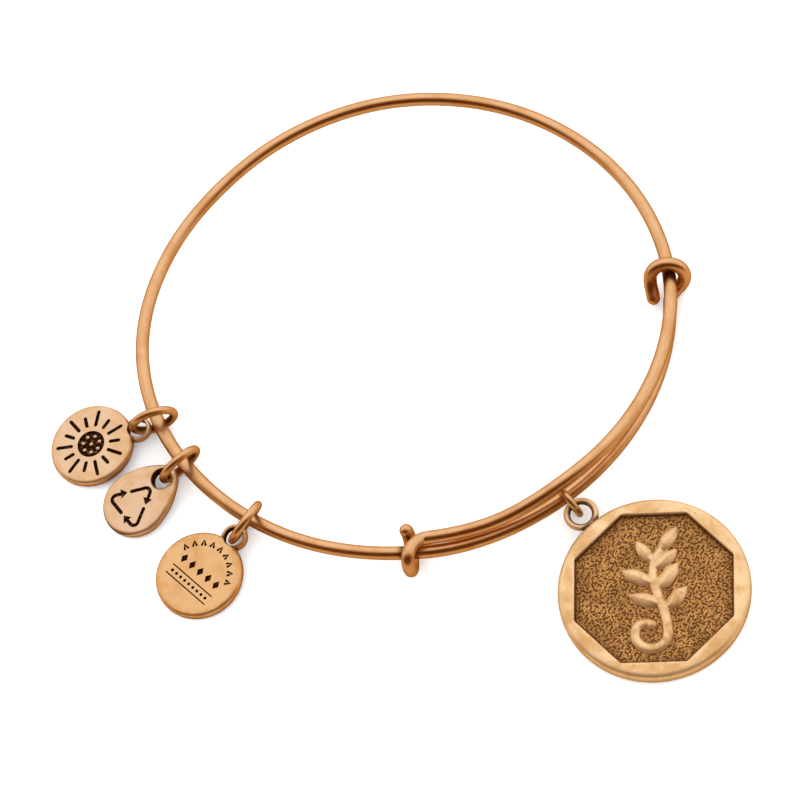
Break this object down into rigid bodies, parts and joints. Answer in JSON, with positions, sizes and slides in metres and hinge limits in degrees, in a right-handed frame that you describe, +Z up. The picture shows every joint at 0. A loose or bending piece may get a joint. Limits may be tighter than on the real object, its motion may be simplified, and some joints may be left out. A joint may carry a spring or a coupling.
{
  "type": "charm bangle",
  "caption": "Expandable wire bangle with two wrapped hooks, a round medallion and small flat charms on jump rings, lying on its side.",
  "frame": {"origin": "middle of the wrist opening, on the plane that the bangle lies on", "axes": "+Z up, along the wrist opening's axis; +X to the right-hand hook's side; +Y away from the medallion"},
  "size_m": [0.0788, 0.0872, 0.0064],
  "materials": {
    "wire_metal": "satin rose-gold finish, lightly aged",
    "charm_metal": "satin rose-gold finish, engraved marks darkened",
    "medallion_metal": "satin yellow-gold finish, recess darkened"
  },
  "bodies": {
    "root": {"bangle_wire": "wire_metal", "medallion": "medallion_metal", "medallion_jump_ring": "medallion_metal", "sun_charm": "charm_metal", "sun_jump_ring": "wire_metal", "teardrop_charm": "charm_metal", "teardrop_jump_ring": "wire_metal", "tag_charm": "charm_metal", "tag_jump_ring": "wire_metal"}
  },
  "joints": []
}
